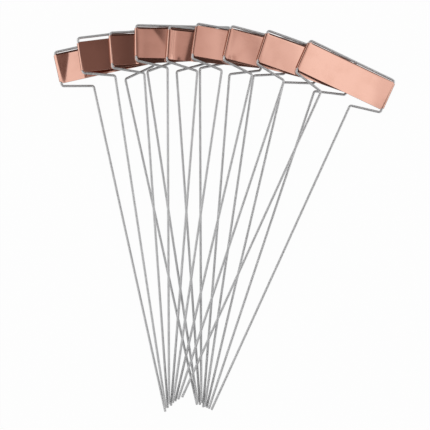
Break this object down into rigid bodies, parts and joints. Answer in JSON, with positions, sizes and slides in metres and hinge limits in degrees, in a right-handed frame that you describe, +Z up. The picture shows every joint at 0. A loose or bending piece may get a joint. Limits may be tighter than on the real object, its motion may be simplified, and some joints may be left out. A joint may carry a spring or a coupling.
{
  "type": "plant label stake set",
  "caption": "Plant label stakes fanned out flat on a table: each is a bent wire frame on two long legs, with a copper name plate whose rolled side edges slide on the frame.",
  "frame": {"origin": "on the table, under the middle of the fan's bounding box", "axes": "+Z up from the table and out of the plates' fronts, +Y from the tips to the heads, +X to the right seen from above"},
  "size_m": [0.23, 0.2604, 0.0129],
  "materials": {
    "steel_wire": "bright galvanised wire",
    "copper_sheet": "bright rolled copper"
  },
  "bodies": {
    "stake_wires": {"wire_stake_1": "steel_wire", "wire_stake_2": "steel_wire", "wire_stake_3": "steel_wire", "wire_stake_4": "steel_wire", "wire_stake_5": "steel_wire", "wire_stake_6": "steel_wire", "wire_stake_7": "steel_wire", "wire_stake_8": "steel_wire", "wire_stake_9": "steel_wire"},
    "plate_1": {"name_plate_1": "copper_sheet"},
    "plate_2": {"name_plate_2": "copper_sheet"},
    "plate_3": {"name_plate_3": "copper_sheet"},
    "plate_4": {"name_plate_4": "copper_sheet"},
    "plate_5": {"name_plate_5": "copper_sheet"},
    "plate_6": {"name_plate_6": "copper_sheet"},
    "plate_7": {"name_plate_7": "copper_sheet"},
    "plate_8": {"name_plate_8": "copper_sheet"},
    "plate_9": {"name_plate_9": "copper_sheet"}
  },
  "joints": [
    {"name": "plate_1_slide", "type": "slide", "parent": "stake_wires", "child": "plate_1", "axis": [-0.2147, 0.9767, 0.0015], "range_m": [-0.0016, 0.0004]},
    {"name": "plate_2_slide", "type": "slide", "parent": "stake_wires", "child": "plate_2", "axis": [-0.1498, 0.9887, 0.009], "range_m": [-0.0002, 0.0018]},
    {"name": "plate_3_slide", "type": "slide", "parent": "stake_wires", "child": "plate_3", "axis": [-0.0691, 0.9975, 0.0152], "range_m": [-0.0017, 0.0003]},
    {"name": "plate_4_slide", "type": "slide", "parent": "stake_wires", "child": "plate_4", "axis": [-0.0039, 1, 0.0085], "range_m": [-0.0017, 0.0003]},
    {"name": "plate_5_slide", "type": "slide", "parent": "stake_wires", "child": "plate_5", "axis": [0.0789, 0.9968, 0.0148], "range_m": [-0.0014, 0.0006]},
    {"name": "plate_6_slide", "type": "slide", "parent": "stake_wires", "child": "plate_6", "axis": [0.1456, 0.9893, 0.0082], "range_m": [-0.0017, 0.0003]},
    {"name": "plate_7_slide", "type": "slide", "parent": "stake_wires", "child": "plate_7", "axis": [0.2287, 0.9734, 0.0145], "range_m": [-0.0015, 0.0005]},
    {"name": "plate_8_slide", "type": "slide", "parent": "stake_wires", "child": "plate_8", "axis": [0.3148, 0.9491, 0.0064], "range_m": [-0.0014, 0.0006]},
    {"name": "plate_9_slide", "type": "slide", "parent": "stake_wires", "child": "plate_9", "axis": [0.4137, 0.9104, 0.0051], "range_m": [-0.0017, 0.0003]}
  ]
}
